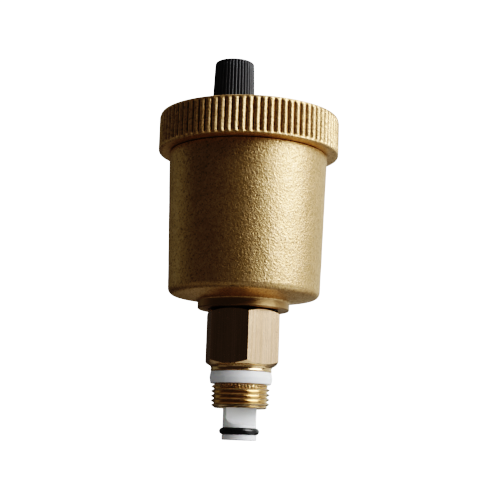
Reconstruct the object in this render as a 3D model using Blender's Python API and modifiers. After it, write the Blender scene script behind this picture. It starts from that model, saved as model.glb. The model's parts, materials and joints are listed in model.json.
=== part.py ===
"""Automatic float air vent on a screw-on check valve, modelled piece by piece.

Frame: +Z runs up the common axis, and the origin is the centre of the pipe thread's lower end.
Named lengths are in millimetres and become metres in the scene. The vent is drawn dry: its float
hangs down, its valve is open, and its spigot holds the check valve's plunger down.
"""

import math

import bmesh
import bpy
from mathutils import Matrix

MM = 0.001
GAP = 0.3  # left between pieces that touch
FACETS = 40  # sides of a large turned piece
FINE_FACETS = 28  # sides of a small turned piece
PARTS = "automatic_air_vent"
CUTTERS = "automatic_air_vent_cutters"

# Check valve: G 3/8 pipe thread, seal ring, neck and hexagon
THREAD_R = 8.331
THREAD_ROOT_R = 7.475
THREAD_PITCH = 1.337
THREAD_CRESTS = 5
THREAD_TOP = 6.8
THREAD_END_R = 7.2
SEAL_RING_R = 8.98
SEAL_RING_TOP = 10.3
NECK_R = 8.9
HEX_FLATS = 19.5
HEX_BOTTOM = 11.8
HEX_TOP = 27.4
HEX_FLAT_ANGLE = -22.0  # degrees from -Y to the nearest flat, counted towards +X
HEX_CHAMFER = 30.0  # degrees from the end face
SOCKET_R = 8.33
SOCKET_FLOOR = 15.9
CHAMBER_R = 6.3
CHAMBER_FLOOR = 11.0
WATERWAY_R = 5.1
SEAT_R = 6.2

# Plunger, its ring and its spring
STEM_R = 4.78
STEM_END = -5.25
PLUNGER_BOTTOM = -8.9
PLUNGER_HEAD_R = 5.9
PLUNGER_HEAD_TOP = 17.9
PLUNGER_HEAD_THICK = 1.4
BLADE_THICK = 3.2
BLADE_ANGLE = 16.0  # degrees from -Y to the flat's normal, counted towards +X
PLUNGER_RING_R = 4.72
PLUNGER_RING_SECTION = 0.95
PLUNGER_RING_Z = -6.4
PLUNGER_SPRING_R = 5.55
PLUNGER_SPRING_WIRE = 0.35

# Bell
SPIGOT_R = 8.03
SPIGOT_BOTTOM = 18.2
SPIGOT_BORE_R = 4.4
BOSS_R = 13.15
BOSS_BOTTOM = HEX_TOP + GAP
BOSS_TOP = 30.2
BELL_EDGE_Z = 32.6
BELL_EDGE_RADIUS = 2.0
BELL_BOTTOM_R = 21.85
BELL_TOP_R = 23.0
BELL_BORE_BOTTOM_R = 19.6
BELL_BORE_TOP_R = 20.7
BELL_FLOOR = 34.1
BELL_NECK_R = 22.3
BELL_RIM = 80.1
UNION_RECESS_R = 10.0
UNION_RECESS_TOP = BOSS_BOTTOM + 1.4

# Lid with its offset nozzle
LID_R = 26.3
LID_VALLEY_R = 25.6
LID_RIDGES = 82
LID_BOTTOM = 73.0
LID_TOP = 84.4
LID_UNDERSIDE = 81.6
LID_BORE_R = 22.7
RIDGE_BOTTOM = 74.0
RIDGE_TOP = 84.0
NOZZLE_X = -4.9
NOZZLE_R = 4.1
NOZZLE_TOP = 96.9
NOZZLE_BORE_R = 2.2
ORIFICE_R = 0.9
VALVE_SEAT_R = 2.4
VALVE_SEAT_Z = 80.6

# Cap on the nozzle
CAP_BOTTOM = LID_TOP + GAP
CAP_TOP = 101.0
CAP_BOTTOM_R = 6.37
CAP_TOP_R = 5.54
CAP_RIBS = 36
CAP_BORE_R = 4.4
CAP_CEILING = 98.8

# Float, lever and valve under the lid
FLOAT_R = 17.4
FLOAT_BOTTOM = 35.8
FLOAT_SHELL_TOP = 64.4
FLOAT_TOP = 65.4
FLOAT_WALL = 1.0
PIVOT_X = NOZZLE_X - 5.35
PIVOT_Z = 76.5
LEVER_REST_TILT = 8.06  # degrees, float end down
LEVER_REACH = 16.0
LEVER_THICK = 0.8
LEVER_HALF_WIDTH = 2.2
LEVER_HUB_R = 1.9
PIN_R = 0.75
PIN_HALF_LENGTH = 4.6
CHEEK_Y = 3.5
CHEEK_THICK = 0.8
SHELF_Z = 71.5
FLANGE_Z = 80.85
SHEET_THICK = 0.8
SCREW_X = -14.85
SCREW_Y = 4.4
SCREW_R = 1.05
SCREW_HEAD_R = 2.0
STEM_ROD_R = 0.7
STEM_LOWER_FLANGE_Z = 74.55
STEM_CUP_BOTTOM = 76.7
PAD_R = 1.7
POST_X = PIVOT_X + LEVER_REACH * math.cos(math.radians(LEVER_REST_TILT))
POST_GROOVE_Z = PIVOT_Z - LEVER_REACH * math.sin(math.radians(LEVER_REST_TILT))


# ---------------------------------------------------------------- scene and helpers

def clear_scene():
    for obj in list(bpy.data.objects):
        bpy.data.objects.remove(obj, do_unlink=True)
    for name in (PARTS, CUTTERS):
        collection = bpy.data.collections.new(name)
        bpy.context.scene.collection.children.link(collection)


def material(name, color, roughness, metallic=0.0):
    """A Principled material, made once for each name."""
    if name in bpy.data.materials:
        return bpy.data.materials[name]
    made = bpy.data.materials.new(name)
    made.use_nodes = True
    shader = made.node_tree.nodes["Principled BSDF"]
    shader.inputs["Base Color"].default_value = (*color, 1.0)
    shader.inputs["Roughness"].default_value = roughness
    shader.inputs["Metallic"].default_value = metallic
    return made


def frame(name, location=(0, 0, 0), parent=None):
    """An empty on a joint's axis. It carries the pieces that move together."""
    empty = bpy.data.objects.new(name, None)
    empty.empty_display_size = 5 * MM
    empty.location = [value * MM for value in location]
    empty.parent = parent
    bpy.data.collections[PARTS].objects.link(empty)
    return empty


def new_piece(name, mesh, parent, location=(0, 0, 0)):
    obj = bpy.data.objects.new(name, mesh)
    obj.location = [value * MM for value in location]
    obj.parent = parent
    bpy.data.collections[PARTS].objects.link(obj)
    return obj


def turned(name, outline, parent, location=(0, 0, 0), steps=FACETS):
    """A solid of revolution about Z. The outline is (radius, height), down the outer side.

    An outline that starts and ends on the axis is a solid, and any other is closed into a ring.
    """
    mesh = bpy.data.meshes.new(name)
    profile = bmesh.new()
    points = [profile.verts.new((radius * MM, 0, height * MM)) for radius, height in outline]
    for start, end in zip(points, points[1:]):
        profile.edges.new((start, end))
    if outline[0][0] > 0:
        profile.edges.new((points[-1], points[0]))
    profile.to_mesh(mesh)
    profile.free()
    obj = new_piece(name, mesh, parent, location)
    screw = obj.modifiers.new("Turn", "SCREW")
    screw.steps = steps
    screw.render_steps = steps
    screw.use_merge_vertices = True
    screw.merge_threshold = 0.000001
    return obj


def cylinder(name, radius, bottom, top, parent, location=(0, 0, 0), steps=FINE_FACETS):
    outline = [(0, top), (radius, top), (radius, bottom), (0, bottom)]
    return turned(name, outline, parent, location, steps)


def torus(name, radius, section, height, parent, location=(0, 0, 0), sides=8, steps=FACETS):
    """A ring of round section, as an O-ring."""
    outline = []
    for index in range(sides):
        angle = -2 * math.pi * index / sides
        outline.append((radius + section * math.cos(angle), height + section * math.sin(angle)))
    return turned(name, outline, parent, location, steps)


def box(name, low, high, parent):
    """A block between two corners."""
    mesh = bpy.data.meshes.new(name)
    block = bmesh.new()
    bmesh.ops.create_cube(block, size=1.0)
    size = [(b - a) * MM for a, b in zip(low, high)]
    centre = [(a + b) / 2 * MM for a, b in zip(low, high)]
    bmesh.ops.scale(block, vec=size, verts=block.verts)
    bmesh.ops.translate(block, vec=centre, verts=block.verts)
    block.to_mesh(mesh)
    block.free()
    return new_piece(name, mesh, parent)


def ribbed(name, ribs, radii, valley_depth, heights, parent, location=(0, 0, 0)):
    """A cone or cylinder with pointed ribs: radii and heights are (bottom, top)."""
    mesh = bpy.data.meshes.new(name)
    cone = bmesh.new()
    bmesh.ops.create_cone(cone, cap_ends=True, segments=2 * ribs, radius1=radii[0] * MM,
                          radius2=radii[1] * MM, depth=(heights[1] - heights[0]) * MM)
    for vertex in cone.verts:
        angle = math.atan2(vertex.co.y, vertex.co.x)
        if round(angle * ribs / math.pi) % 2:
            shrink = 1 - valley_depth * MM / math.hypot(vertex.co.x, vertex.co.y)
            vertex.co.x *= shrink
            vertex.co.y *= shrink
    bmesh.ops.translate(cone, vec=(0, 0, sum(heights) / 2 * MM), verts=cone.verts)
    cone.to_mesh(mesh)
    cone.free()
    return new_piece(name, mesh, parent, location)


def curve_to_mesh(name, curve, parent, placing):
    """Turns a curve into a closed mesh piece whose points are moved by the matrix placing."""
    guide = bpy.data.objects.new(name + "_curve", curve)
    bpy.data.collections[CUTTERS].objects.link(guide)
    mesh = bpy.data.meshes.new_from_object(guide.evaluated_get(bpy.context.evaluated_depsgraph_get()))
    mesh.transform(placing)
    welded = bmesh.new()
    welded.from_mesh(mesh)
    bmesh.ops.remove_doubles(welded, verts=welded.verts, dist=0.000001)
    welded.to_mesh(mesh)
    welded.free()
    bpy.data.objects.remove(guide, do_unlink=True)
    return new_piece(name, mesh, parent)


def plate(name, outlines, thickness, parent, placing):
    """A flat plate from closed outlines of (x, y): the first is its edge, the others its holes."""
    curve = bpy.data.curves.new(name, "CURVE")
    curve.dimensions = "2D"
    curve.fill_mode = "BOTH"
    curve.extrude = thickness / 2 * MM
    curve.render_resolution_u = 0
    for outline in outlines:
        spline = curve.splines.new("POLY")
        spline.points.add(len(outline) - 1)
        for point, (x, y) in zip(spline.points, outline):
            point.co = (x * MM, y * MM, 0, 1)
        spline.use_cyclic_u = True
    return curve_to_mesh(name, curve, parent, placing)


def coil(name, radius, wire, bottom, top, turns, parent, location=(0, 0, 0)):
    """A compression spring about Z. Bottom and top are the heights of its outer surface."""
    curve = bpy.data.curves.new(name, "CURVE")
    curve.dimensions = "3D"
    curve.bevel_depth = wire * MM
    curve.bevel_resolution = 2
    curve.use_fill_caps = True
    curve.render_resolution_u = 0
    count = round(turns * 10) + 1
    spline = curve.splines.new("POLY")
    spline.points.add(count - 1)
    for index, point in enumerate(spline.points):
        share = index / (count - 1)
        angle = 2 * math.pi * turns * share
        height = bottom + wire + (top - bottom - 2 * wire) * share
        point.co = (radius * math.cos(angle) * MM, radius * math.sin(angle) * MM, height * MM, 1)
    return curve_to_mesh(name, curve, parent, Matrix.Translation([value * MM for value in location]))


def circle(centre_x, centre_y, radius, sides=12):
    """A round outline as (x, y) points."""
    angles = [2 * math.pi * index / sides for index in range(sides)]
    return [(centre_x + radius * math.cos(a), centre_y + radius * math.sin(a)) for a in angles]


def arc(centre, radius, start, end, points):
    """Points (x, y) along an arc, with angles in degrees."""
    angles = [math.radians(start + (end - start) * index / (points - 1)) for index in range(points)]
    return [(centre[0] + radius * math.cos(a), centre[1] + radius * math.sin(a)) for a in angles]


def combine(piece, operation, *tools):
    """Adds each tool to a piece (UNION), cuts it away (DIFFERENCE) or keeps what both share."""
    for tool in tools:
        bpy.data.collections[PARTS].objects.unlink(tool)
        bpy.data.collections[CUTTERS].objects.link(tool)
        tool.hide_render = True
        tool.display_type = "WIRE"
        modifier = piece.modifiers.new(operation.title(), "BOOLEAN")
        modifier.operation = operation
        modifier.solver = "EXACT"
        modifier.object = tool


def finish(piece, finish_material, sharp=35.0):
    """Settles a piece's modifiers into its mesh, shades its round faces smooth and paints it."""
    evaluated = piece.evaluated_get(bpy.context.evaluated_depsgraph_get())
    mesh = bpy.data.meshes.new_from_object(evaluated)
    piece.modifiers.clear()
    piece.data = mesh
    mesh.name = piece.name
    mesh.shade_smooth()
    mesh.set_sharp_from_angle(angle=math.radians(sharp))
    mesh.materials.clear()
    mesh.materials.append(finish_material)


# ---------------------------------------------------------------- finishes

def cast_brass():
    return material("cast_brass", (0.55, 0.40, 0.17), 0.45, 1.0)


def machined_brass():
    return material("machined_brass", (0.62, 0.45, 0.20), 0.25, 1.0)


def seal_plastic():
    return material("seal_plastic", (0.80, 0.78, 0.82), 0.45)


def white_plastic():
    return material("white_plastic", (0.82, 0.83, 0.85), 0.40)


def black_plastic():
    return material("black_plastic", (0.02, 0.02, 0.022), 0.50)


def black_rubber():
    return material("black_rubber", (0.015, 0.015, 0.016), 0.35)


def spring_steel():
    return material("spring_steel", (0.60, 0.60, 0.62), 0.28, 1.0)


# ---------------------------------------------------------------- check valve

def thread_outline():
    """The male pipe thread's flanks as separate crests, from its top to its end face."""
    points = [(THREAD_END_R, THREAD_TOP)]
    first_crest = THREAD_TOP - 0.35
    crest_half = 0.12
    for index in range(THREAD_CRESTS):
        crest = first_crest - index * THREAD_PITCH
        points.append((THREAD_R, crest + crest_half))
        points.append((THREAD_R, crest - crest_half))
        points.append((THREAD_ROOT_R, crest - THREAD_PITCH / 2))
    points.append((THREAD_END_R, 0))
    return points


def make_check_valve_body(parent):
    """Hexagon, neck and pipe thread in one brass bar, with socket, spring chamber and seat."""
    inside_hex = HEX_BOTTOM + 3
    corner_r = HEX_FLATS / 2 / math.cos(math.radians(30))
    beyond_corner = corner_r + 0.3
    end_r = HEX_FLATS / 2 - 0.35
    slope = (beyond_corner - end_r) * math.tan(math.radians(HEX_CHAMFER))
    body = cylinder("check_valve_body", corner_r, HEX_BOTTOM, HEX_TOP, parent, steps=6)
    # A turned hexagon starts with a corner at +X, and its nearest flat to -Y is at 0 degrees.
    body.rotation_euler.z = math.radians(HEX_FLAT_ANGLE)
    chamfers = turned("hex_chamfers", [
        (0, HEX_TOP + 1), (end_r, HEX_TOP + 1), (end_r, HEX_TOP), (beyond_corner, HEX_TOP - slope),
        (beyond_corner, HEX_BOTTOM + slope), (end_r, HEX_BOTTOM), (end_r, HEX_BOTTOM - 1),
        (0, HEX_BOTTOM - 1)], parent)
    combine(body, "INTERSECT", chamfers)
    shank = turned("shank", [
        (0, inside_hex), (NECK_R, inside_hex), (NECK_R, SEAL_RING_TOP + GAP),
        (THREAD_END_R, SEAL_RING_TOP + GAP), *thread_outline(), (0, 0)], parent)
    combine(body, "UNION", shank)
    waterway = turned("waterway", [
        (0, HEX_TOP + 1), (SOCKET_R, HEX_TOP + 1), (SOCKET_R, SOCKET_FLOOR),
        (CHAMBER_R, SOCKET_FLOOR), (CHAMBER_R, CHAMBER_FLOOR), (WATERWAY_R, CHAMBER_FLOOR),
        (WATERWAY_R, SEAT_R - WATERWAY_R), (SEAT_R, 0), (SEAT_R + 0.5, -0.5), (0, -0.5)], parent)
    combine(body, "DIFFERENCE", waterway)
    finish(body, machined_brass())


def make_thread_seal_ring(parent):
    """The soft ring above the thread, bulged like a barrel."""
    bottom = THREAD_TOP + GAP
    middle = (bottom + SEAL_RING_TOP) / 2
    inner = THREAD_END_R + GAP
    ring = turned("thread_seal_ring", [
        (inner, SEAL_RING_TOP), (SEAL_RING_R - 0.35, SEAL_RING_TOP), (SEAL_RING_R, middle + 0.8),
        (SEAL_RING_R, middle - 0.8), (SEAL_RING_R - 0.35, bottom), (inner, bottom)], parent)
    finish(ring, seal_plastic())


def make_check_plunger(parent):
    """White plunger: slotted head, flat blade through the waterway, and ring groove at its foot."""
    head_bottom = PLUNGER_HEAD_TOP - PLUNGER_HEAD_THICK
    groove_r = PLUNGER_RING_R - PLUNGER_RING_SECTION - GAP
    groove_bottom = PLUNGER_RING_Z - PLUNGER_RING_SECTION - 0.2
    plunger = turned("check_plunger", [
        (0, PLUNGER_HEAD_TOP), (PLUNGER_HEAD_R, PLUNGER_HEAD_TOP), (PLUNGER_HEAD_R, head_bottom),
        (STEM_R, head_bottom), (STEM_R, STEM_END), (groove_r, STEM_END), (groove_r, groove_bottom),
        (STEM_R + 0.15, groove_bottom), (STEM_R + 0.15, PLUNGER_BOTTOM + 0.25),
        (STEM_R - 0.1, PLUNGER_BOTTOM), (0, PLUNGER_BOTTOM)], parent, steps=FINE_FACETS)
    half = STEM_R + 1
    top = head_bottom - 1
    low_left = STEM_END + 1.4
    low_right = STEM_END + 0.5
    corner = 2.2
    side = [(half, top), (-half, top), (-half, low_left + corner)]
    side += arc((-STEM_R + corner, low_left + corner), corner, 180, 270, 5)
    side += [(half, low_right)]
    for index, turn in enumerate((BLADE_ANGLE, BLADE_ANGLE + 180)):
        facing = Matrix.Rotation(math.radians(turn), 4, "Z")
        outwards = Matrix.Translation((0, -(BLADE_THICK / 2 + 5) * MM, 0))
        upright = Matrix.Rotation(math.radians(90), 4, "X")
        flat = plate(f"plunger_flat_{index + 1}", [side], 10, parent, facing @ outwards @ upright)
        combine(plunger, "DIFFERENCE", flat)
    slot_half = 1.2
    slot_bottom = PLUNGER_HEAD_TOP - 1.0
    across = PLUNGER_HEAD_R + 1
    along_x = box("head_slot_x", (-across, -slot_half, slot_bottom),
                  (across, slot_half, PLUNGER_HEAD_TOP + 1), parent)
    along_y = box("head_slot_y", (-slot_half, -across, slot_bottom),
                  (slot_half, across, PLUNGER_HEAD_TOP + 1), parent)
    combine(plunger, "DIFFERENCE", along_x, along_y)
    finish(plunger, white_plastic())


def make_plunger_o_ring(parent):
    ring = torus("plunger_o_ring", PLUNGER_RING_R, PLUNGER_RING_SECTION, PLUNGER_RING_Z, parent,
                 steps=32)
    finish(ring, black_rubber(), sharp=80)


def make_plunger_spring(parent):
    top = PLUNGER_HEAD_TOP - PLUNGER_HEAD_THICK - GAP
    spring = coil("plunger_spring", PLUNGER_SPRING_R, PLUNGER_SPRING_WIRE, CHAMBER_FLOOR + GAP,
                  top, 4.25, parent)
    finish(spring, spring_steel(), sharp=80)


def make_union_o_ring(parent):
    """Seals the bell's boss on the hexagon's upper face."""
    section = 0.6
    ring = torus("union_o_ring", (SPIGOT_R + UNION_RECESS_R) / 2, section,
                 BOSS_BOTTOM + section + 0.05, parent, steps=32)
    finish(ring, black_rubber(), sharp=80)


# ---------------------------------------------------------------- vent

def make_bell_body(parent):
    """The bell with its boss and spigot, one brass casting open at the top."""
    edge_centre = (BELL_BOTTOM_R - BELL_EDGE_RADIUS, BELL_EDGE_Z + BELL_EDGE_RADIUS)
    edge = arc(edge_centre, BELL_EDGE_RADIUS, 0, -80, 5)
    neck_bottom = LID_BOTTOM - GAP
    outer = [
        (BELL_BORE_TOP_R, BELL_RIM), (BELL_NECK_R - 0.3, BELL_RIM), (BELL_NECK_R, BELL_RIM - 0.3),
        (BELL_NECK_R, neck_bottom), (BELL_TOP_R, neck_bottom), *edge, (BOSS_R + 1.5, BOSS_TOP + 0.7),
        (BOSS_R + 0.4, BOSS_TOP + 0.3), (BOSS_R, BOSS_TOP - 0.2), (BOSS_R, BOSS_BOTTOM + 0.3),
        (BOSS_R - 0.3, BOSS_BOTTOM)]
    spigot = [
        (UNION_RECESS_R, BOSS_BOTTOM), (UNION_RECESS_R, UNION_RECESS_TOP),
        (SPIGOT_R, UNION_RECESS_TOP), (SPIGOT_R, SPIGOT_BOTTOM + 0.6),
        (SPIGOT_R - 0.6, SPIGOT_BOTTOM), (SPIGOT_BORE_R, SPIGOT_BOTTOM)]
    inner = [
        (SPIGOT_BORE_R, BELL_FLOOR), (BELL_BORE_BOTTOM_R - 3.0, BELL_FLOOR + 0.6),
        *arc((BELL_BORE_BOTTOM_R - 3.2, BELL_FLOOR + 3.8), 3.2, -70, 0, 4)]
    bell = turned("bell_body", outer + spigot + inner, parent)
    finish(bell, cast_brass())


def make_lid_o_ring(parent):
    section = 0.6
    ring = torus("lid_o_ring", BELL_NECK_R - 0.8, section, (BELL_RIM + LID_UNDERSIDE) / 2, parent)
    finish(ring, black_rubber(), sharp=80)


def make_lid(parent):
    """Ridged brass lid with the offset nozzle on top and the valve seat under it."""
    collar_r = LID_R - 0.05
    lid = turned("lid", [
        (0, LID_TOP), (LID_VALLEY_R, LID_TOP), (LID_R - 0.3, LID_TOP - 0.15),
        (LID_R - 0.3, RIDGE_TOP), (LID_VALLEY_R, RIDGE_TOP - 0.3), (LID_VALLEY_R, RIDGE_BOTTOM + 0.2),
        (collar_r, RIDGE_BOTTOM - 0.15), (collar_r, LID_BOTTOM + 0.4), (collar_r - 0.4, LID_BOTTOM),
        (0, LID_BOTTOM)], parent)
    ridges = ribbed("lid_ridges", LID_RIDGES, (LID_R, LID_R), LID_R - LID_VALLEY_R + 0.05,
                    (RIDGE_BOTTOM, RIDGE_TOP), parent)
    combine(lid, "UNION", ridges)
    hollow = turned("lid_hollow", [
        (0, LID_UNDERSIDE), (LID_BORE_R, LID_UNDERSIDE), (LID_BORE_R, LID_BOTTOM + 0.4),
        (LID_BORE_R + 0.9, LID_BOTTOM - 0.5), (0, LID_BOTTOM - 0.5)], parent)
    combine(lid, "DIFFERENCE", hollow)
    nozzle_axis = (NOZZLE_X, 0, 0)
    nozzle = turned("nozzle", [
        (0, NOZZLE_TOP), (NOZZLE_R - 0.4, NOZZLE_TOP), (NOZZLE_R, NOZZLE_TOP - 0.4),
        (NOZZLE_R, LID_TOP - 1), (0, LID_TOP - 1)], parent, nozzle_axis, FINE_FACETS)
    seat = cylinder("valve_seat", VALVE_SEAT_R, VALVE_SEAT_Z, LID_UNDERSIDE + 1, parent, nozzle_axis)
    combine(lid, "UNION", nozzle, seat)
    airway = turned("airway", [
        (0, NOZZLE_TOP + 1), (NOZZLE_BORE_R, NOZZLE_TOP + 1), (NOZZLE_BORE_R, LID_TOP - 0.8),
        (ORIFICE_R, LID_TOP - 1.6), (ORIFICE_R, VALVE_SEAT_Z - 1), (0, VALVE_SEAT_Z - 1)],
        parent, nozzle_axis, FINE_FACETS)
    combine(lid, "DIFFERENCE", airway)
    for index, side in enumerate((-1, 1)):
        hole = cylinder(f"lid_screw_hole_{index + 1}", SCREW_R + GAP, LID_UNDERSIDE - 1,
                        LID_TOP - 0.9, parent, (SCREW_X, side * SCREW_Y, 0), 16)
        combine(lid, "DIFFERENCE", hole)
    finish(lid, cast_brass())


def make_cap_seal(parent):
    """Rubber disc in the cap's ceiling, which shuts the nozzle's mouth."""
    seal = cylinder("cap_seal", CAP_BORE_R - GAP, NOZZLE_TOP + GAP, CAP_CEILING - GAP, parent)
    finish(seal, black_rubber())


def make_vent_cap(parent):
    """Finely ribbed black cap that screws on the nozzle."""
    core_inset = 0.26
    cap = turned("vent_cap", [
        (0, CAP_TOP), (CAP_TOP_R - 1.0, CAP_TOP), (CAP_TOP_R - 0.5, CAP_TOP - 0.2),
        (CAP_TOP_R - core_inset, CAP_TOP - 0.9), (CAP_BOTTOM_R - core_inset, CAP_BOTTOM + 0.3),
        (CAP_BOTTOM_R - core_inset - 0.2, CAP_BOTTOM), (0, CAP_BOTTOM)], parent, steps=36)
    ribs = ribbed("cap_ribs", CAP_RIBS, (CAP_BOTTOM_R, CAP_TOP_R), core_inset + 0.08,
                  (CAP_BOTTOM + 0.3, CAP_TOP - 0.75), parent)
    combine(cap, "UNION", ribs)
    bore = cylinder("cap_bore", CAP_BORE_R, CAP_BOTTOM - 1, CAP_CEILING, parent)
    combine(cap, "DIFFERENCE", bore)
    finish(cap, black_plastic())


# ---------------------------------------------------------------- mechanism under the lid

def make_lever_bracket(parent):
    """Bent steel bracket: a flange under the lid, two cheeks for the pin and a shelf for the stem."""
    shelf_right = NOZZLE_X + 2.3
    shelf_left = NOZZLE_X - 2.3
    flange_left = SCREW_X - 2.6
    flange_right = NOZZLE_X - 3.2
    flange_half = SCREW_Y + 2.2
    bracket = box("lever_bracket", (flange_left, -flange_half, FLANGE_Z - SHEET_THICK / 2),
                  (flange_right, flange_half, FLANGE_Z + SHEET_THICK / 2), parent)
    cheek = [
        (PIVOT_X - 2.2, FLANGE_Z), (PIVOT_X - 2.2, PIVOT_Z - 1.5), (shelf_left, SHELF_Z - 0.4),
        (shelf_right, SHELF_Z - 0.4), (shelf_right, SHELF_Z + 1.2), (flange_right, PIVOT_Z + 1),
        (flange_right, FLANGE_Z)]
    pin_hole = circle(PIVOT_X, PIVOT_Z, PIN_R + GAP)
    for index, side in enumerate((-1, 1)):
        placing = Matrix.Translation((0, side * CHEEK_Y * MM, 0)) @ Matrix.Rotation(math.pi / 2, 4, "X")
        sheet = plate(f"cheek_{index + 1}", [cheek, pin_hole], CHEEK_THICK, parent, placing)
        combine(bracket, "UNION", sheet)
    shelf = box("shelf", (shelf_left + 0.1, -CHEEK_Y, SHELF_Z - 0.3),
                (shelf_right - 0.1, CHEEK_Y, SHELF_Z + 0.4), parent)
    combine(bracket, "UNION", shelf)
    guide_hole = cylinder("guide_hole", STEM_ROD_R + GAP, SHELF_Z - 2, SHELF_Z + 2, parent,
                          (NOZZLE_X, 0, 0), 12)
    combine(bracket, "DIFFERENCE", guide_hole)
    for index, side in enumerate((-1, 1)):
        hole = cylinder(f"flange_hole_{index + 1}", SCREW_R + GAP, FLANGE_Z - 2, FLANGE_Z + 2,
                        parent, (SCREW_X, side * SCREW_Y, 0), 12)
        combine(bracket, "DIFFERENCE", hole)
    finish(bracket, spring_steel())


def make_bracket_screws(parent):
    """Two pan-head screws with a driver slot, from below into the lid."""
    head_top = FLANGE_Z - SHEET_THICK / 2 - GAP
    head_bottom = head_top - 1.2
    for index, side in enumerate((-1, 1)):
        place = (SCREW_X, side * SCREW_Y, 0)
        screw = turned(f"bracket_screw_{index + 1}", [
            (0, LID_TOP - 1.3), (SCREW_R, LID_TOP - 1.3), (SCREW_R, head_top), (SCREW_HEAD_R, head_top),
            (SCREW_HEAD_R, head_bottom + 0.4), (SCREW_HEAD_R - 0.4, head_bottom), (0, head_bottom)],
            parent, place, 16)
        low = (SCREW_X - 3, side * SCREW_Y - 0.3, head_bottom - 1)
        high = (SCREW_X + 3, side * SCREW_Y + 0.3, head_bottom + 0.5)
        combine(screw, "DIFFERENCE", box(f"driver_slot_{index + 1}", low, high, parent))
        finish(screw, spring_steel())


def make_lever_pin(parent):
    """The lever's pivot, through both cheeks of the bracket."""
    pin = cylinder("lever_pin", PIN_R, -PIN_HALF_LENGTH, PIN_HALF_LENGTH, parent,
                   (PIVOT_X, 0, PIVOT_Z), 16)
    pin.rotation_euler.x = math.pi / 2
    finish(pin, spring_steel())


def make_float_lever(parent):
    """Lever on the pin: a slot round the valve stem, and a fork round the float's post."""
    stem_arm = (NOZZLE_X - PIVOT_X) / math.cos(math.radians(LEVER_REST_TILT))
    slot = [(stem_arm + x, y) for x, y in ((-1.5, -1), (1.5, -1), (1.5, 1), (-1.5, 1))]
    fork_half = 1.1
    tip = LEVER_REACH + 2.2
    fork_root = LEVER_REACH - 1.6
    edge = [
        (0, -LEVER_HALF_WIDTH), (tip - 0.5, -LEVER_HALF_WIDTH), (tip, -LEVER_HALF_WIDTH + 0.5),
        (tip, -fork_half), (fork_root, -fork_half), (fork_root, fork_half), (tip, fork_half),
        (tip, LEVER_HALF_WIDTH - 0.5), (tip - 0.5, LEVER_HALF_WIDTH), (0, LEVER_HALF_WIDTH)]
    lever = plate("float_lever", [edge, slot], LEVER_THICK, parent, Matrix.Identity(4))
    hub_half = CHEEK_Y - CHEEK_THICK / 2 - 0.4
    hub = cylinder("lever_hub", LEVER_HUB_R, -hub_half, hub_half, parent, steps=20)
    eye = cylinder("lever_eye", PIN_R + GAP, -hub_half - 1, hub_half + 1, parent, steps=16)
    for tool in (hub, eye):
        tool.rotation_euler.x = math.pi / 2
    combine(lever, "UNION", hub)
    combine(lever, "DIFFERENCE", eye)
    finish(lever, spring_steel())


def make_valve_stem(parent):
    """Thin stem with a cup for the pad on top, and two flanges with the lever between them."""
    cup_r = PAD_R + GAP + 0.4
    cup_floor = STEM_CUP_BOTTOM + 0.6
    flange_half = 0.25
    flange_r = 1.6
    stem_end = SHELF_Z - 2.6
    stem = turned("valve_stem", [
        (0, cup_floor), (PAD_R + GAP, cup_floor), (PAD_R + GAP, cup_floor + 0.8),
        (cup_r, cup_floor + 0.8), (cup_r, STEM_CUP_BOTTOM), (STEM_ROD_R, STEM_CUP_BOTTOM),
        (STEM_ROD_R, STEM_LOWER_FLANGE_Z + flange_half), (flange_r, STEM_LOWER_FLANGE_Z + flange_half),
        (flange_r, STEM_LOWER_FLANGE_Z - flange_half), (STEM_ROD_R, STEM_LOWER_FLANGE_Z - flange_half),
        (STEM_ROD_R, stem_end), (0, stem_end)], parent, steps=16)
    finish(stem, machined_brass())


def make_valve_pad(parent):
    bottom = STEM_CUP_BOTTOM + 0.6 + GAP
    pad = cylinder("valve_pad", PAD_R, bottom, bottom + 1.3, parent, steps=16)
    finish(pad, black_rubber())


def make_valve_spring(parent):
    """Pushes the stem up to shut the orifice once the float's weight is lifted off."""
    bottom = SHELF_Z + 0.4 + GAP
    top = STEM_LOWER_FLANGE_Z - 0.25 - GAP
    spring = coil("valve_spring", 1.27, 0.17, bottom, top, 3.5, parent, (NOZZLE_X, 0, 0))
    finish(spring, spring_steel(), sharp=80)


def make_float_shell(parent):
    """Thin plastic cup, closed by the float's cover."""
    shell = turned("float_shell", [
        (0, FLOAT_BOTTOM + FLOAT_WALL), (FLOAT_R - FLOAT_WALL - 1, FLOAT_BOTTOM + FLOAT_WALL),
        (FLOAT_R - FLOAT_WALL, FLOAT_BOTTOM + FLOAT_WALL + 1), (FLOAT_R - FLOAT_WALL, FLOAT_SHELL_TOP),
        (FLOAT_R, FLOAT_SHELL_TOP), (FLOAT_R, FLOAT_BOTTOM + 1.5), (FLOAT_R - 1.5, FLOAT_BOTTOM),
        (0, FLOAT_BOTTOM)], parent, steps=36)
    finish(shell, white_plastic())


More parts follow.
